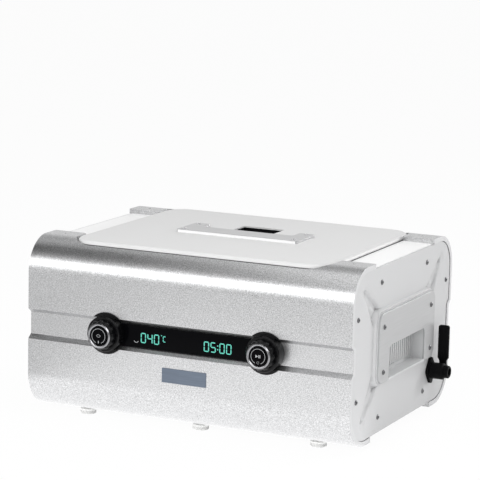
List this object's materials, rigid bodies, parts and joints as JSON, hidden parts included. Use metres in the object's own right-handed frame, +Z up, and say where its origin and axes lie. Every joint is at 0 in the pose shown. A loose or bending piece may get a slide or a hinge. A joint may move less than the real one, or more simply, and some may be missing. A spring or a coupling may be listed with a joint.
{
  "type": "ultrasonic cleaner",
  "caption": "Bench-top ultrasonic cleaner: extruded case, lift-off lid over a steel tank, turn-and-press knobs, dark display, hand cups and a drain valve.",
  "frame": {"origin": "middle of the footprint box at the level of the feet's soles", "axes": "+X to the right of a user at the knobs, +Y to the back, +Z up"},
  "size_m": [0.4956, 0.3744, 0.2428],
  "materials": {
    "shell_aluminium": "bead-blasted anodised, satin silver",
    "panel_paint": "light grey powder coat, satin",
    "lid_paint": "pale grey satin",
    "handle_aluminium": "brushed, broken edges bright",
    "stainless": "brushed stainless",
    "screw_steel": "dark plated",
    "black_gloss": "gloss black",
    "black_matte": "fine matt black",
    "grey_plastic": "light grey moulded",
    "white_plastic": "white moulded",
    "chrome_trim": "polished",
    "badge_blue": "satin slate blue",
    "seal_rubber": "soft black",
    "board_green": "solder mask",
    "ceramic_tan": "fired ceramic",
    "heater_orange": "silicone heater mat",
    "cast_aluminium": "machined"
  },
  "bodies": {
    "case": {"front_shell": "shell_aluminium", "rear_shell": "shell_aluminium", "left_panel": "panel_paint", "right_panel": "panel_paint", "base_plate": "panel_paint", "deck": "lid_paint", "left_grip_cup": "grey_plastic", "right_grip_cup": "grey_plastic", "left_grip_plate": "handle_aluminium", "right_grip_plate": "handle_aluminium", "left_brackets": "stainless", "right_brackets": "stainless", "left_panel_screws": "screw_steel", "right_panel_screws": "screw_steel", "left_grip_screws": "screw_steel", "right_grip_screws": "screw_steel", "flange_screws": "screw_steel", "feet": "white_plastic", "tank": "stainless", "tank_seal": "seal_rubber", "display_window": "black_gloss", "display_board": "board_green", "badge_plate": "badge_blue", "left_knob_bezel": "black_gloss", "right_knob_bezel": "black_gloss", "left_encoder": "black_matte", "right_encoder": "black_matte", "drain_pipe": "stainless", "valve_body": "black_matte", "transducer_horns": "cast_aluminium", "transducer_ceramics": "ceramic_tan", "transducer_back_masses": "stainless", "heater_pads": "heater_orange", "power_supply": "stainless", "generator_board": "board_green", "fan_frame": "black_matte", "inlet_socket": "black_matte", "switch_frame": "black_matte", "fuse_holder": "black_matte"},
    "lid": {"lid_cover": "lid_paint", "lid_liner": "stainless", "lid_finger_cup": "black_matte", "lid_handle": "handle_aluminium", "lid_handle_screws": "screw_steel"},
    "basket": {"basket": "stainless", "basket_grips": "stainless"},
    "left_knob": {"left_knob_ring": "black_gloss", "left_knob_trim": "chrome_trim"},
    "left_button": {"left_knob_cap": "black_gloss"},
    "right_knob": {"right_knob_ring": "black_gloss", "right_knob_trim": "chrome_trim"},
    "right_button": {"right_knob_cap": "black_gloss"},
    "drain_lever": {"valve_lever": "black_matte", "valve_ball": "stainless"},
    "fan": {"fan_rotor": "black_matte"},
    "mains_rocker": {"power_rocker": "black_gloss"}
  },
  "joints": [
    {"name": "lid_lift", "type": "slide", "parent": "case", "child": "lid", "axis": [0, 0, 1], "range_m": [0, 0.25]},
    {"name": "basket_lift", "type": "slide", "parent": "case", "child": "basket", "axis": [0, 0, 1], "range_m": [0, 0.03]},
    {"name": "left_knob_turn", "type": "hinge", "parent": "case", "child": "left_knob", "pos_m": [-0.1232, -0.1713, 0.1238], "axis": [0, -1, 0], "continuous": true},
    {"name": "right_knob_turn", "type": "hinge", "parent": "case", "child": "right_knob", "pos_m": [0.1028, -0.1713, 0.1238], "axis": [0, -1, 0], "continuous": true},
    {"name": "left_button_press", "type": "slide", "parent": "case", "child": "left_button", "axis": [0, 1, 0], "range_m": [0, 0.0012], "stiffness_N_per_m": 600},
    {"name": "right_button_press", "type": "slide", "parent": "case", "child": "right_button", "axis": [0, 1, 0], "range_m": [0, 0.0012], "stiffness_N_per_m": 600},
    {"name": "drain_lever_turn", "type": "hinge", "parent": "case", "child": "drain_lever", "pos_m": [0.2328, 0.1127, 0.06], "axis": [0, 1, 0], "range_deg": [0, 90]},
    {"name": "fan_spin", "type": "hinge", "parent": "case", "child": "fan", "pos_m": [-0.1102, 0.1697, 0.169], "axis": [0, 1, 0], "continuous": true},
    {"name": "mains_rocker_tilt", "type": "hinge", "parent": "case", "child": "mains_rocker", "pos_m": [0.0578, 0.1847, 0.08], "axis": [-1, 0, 0], "range_deg": [0, 20]}
  ]
}
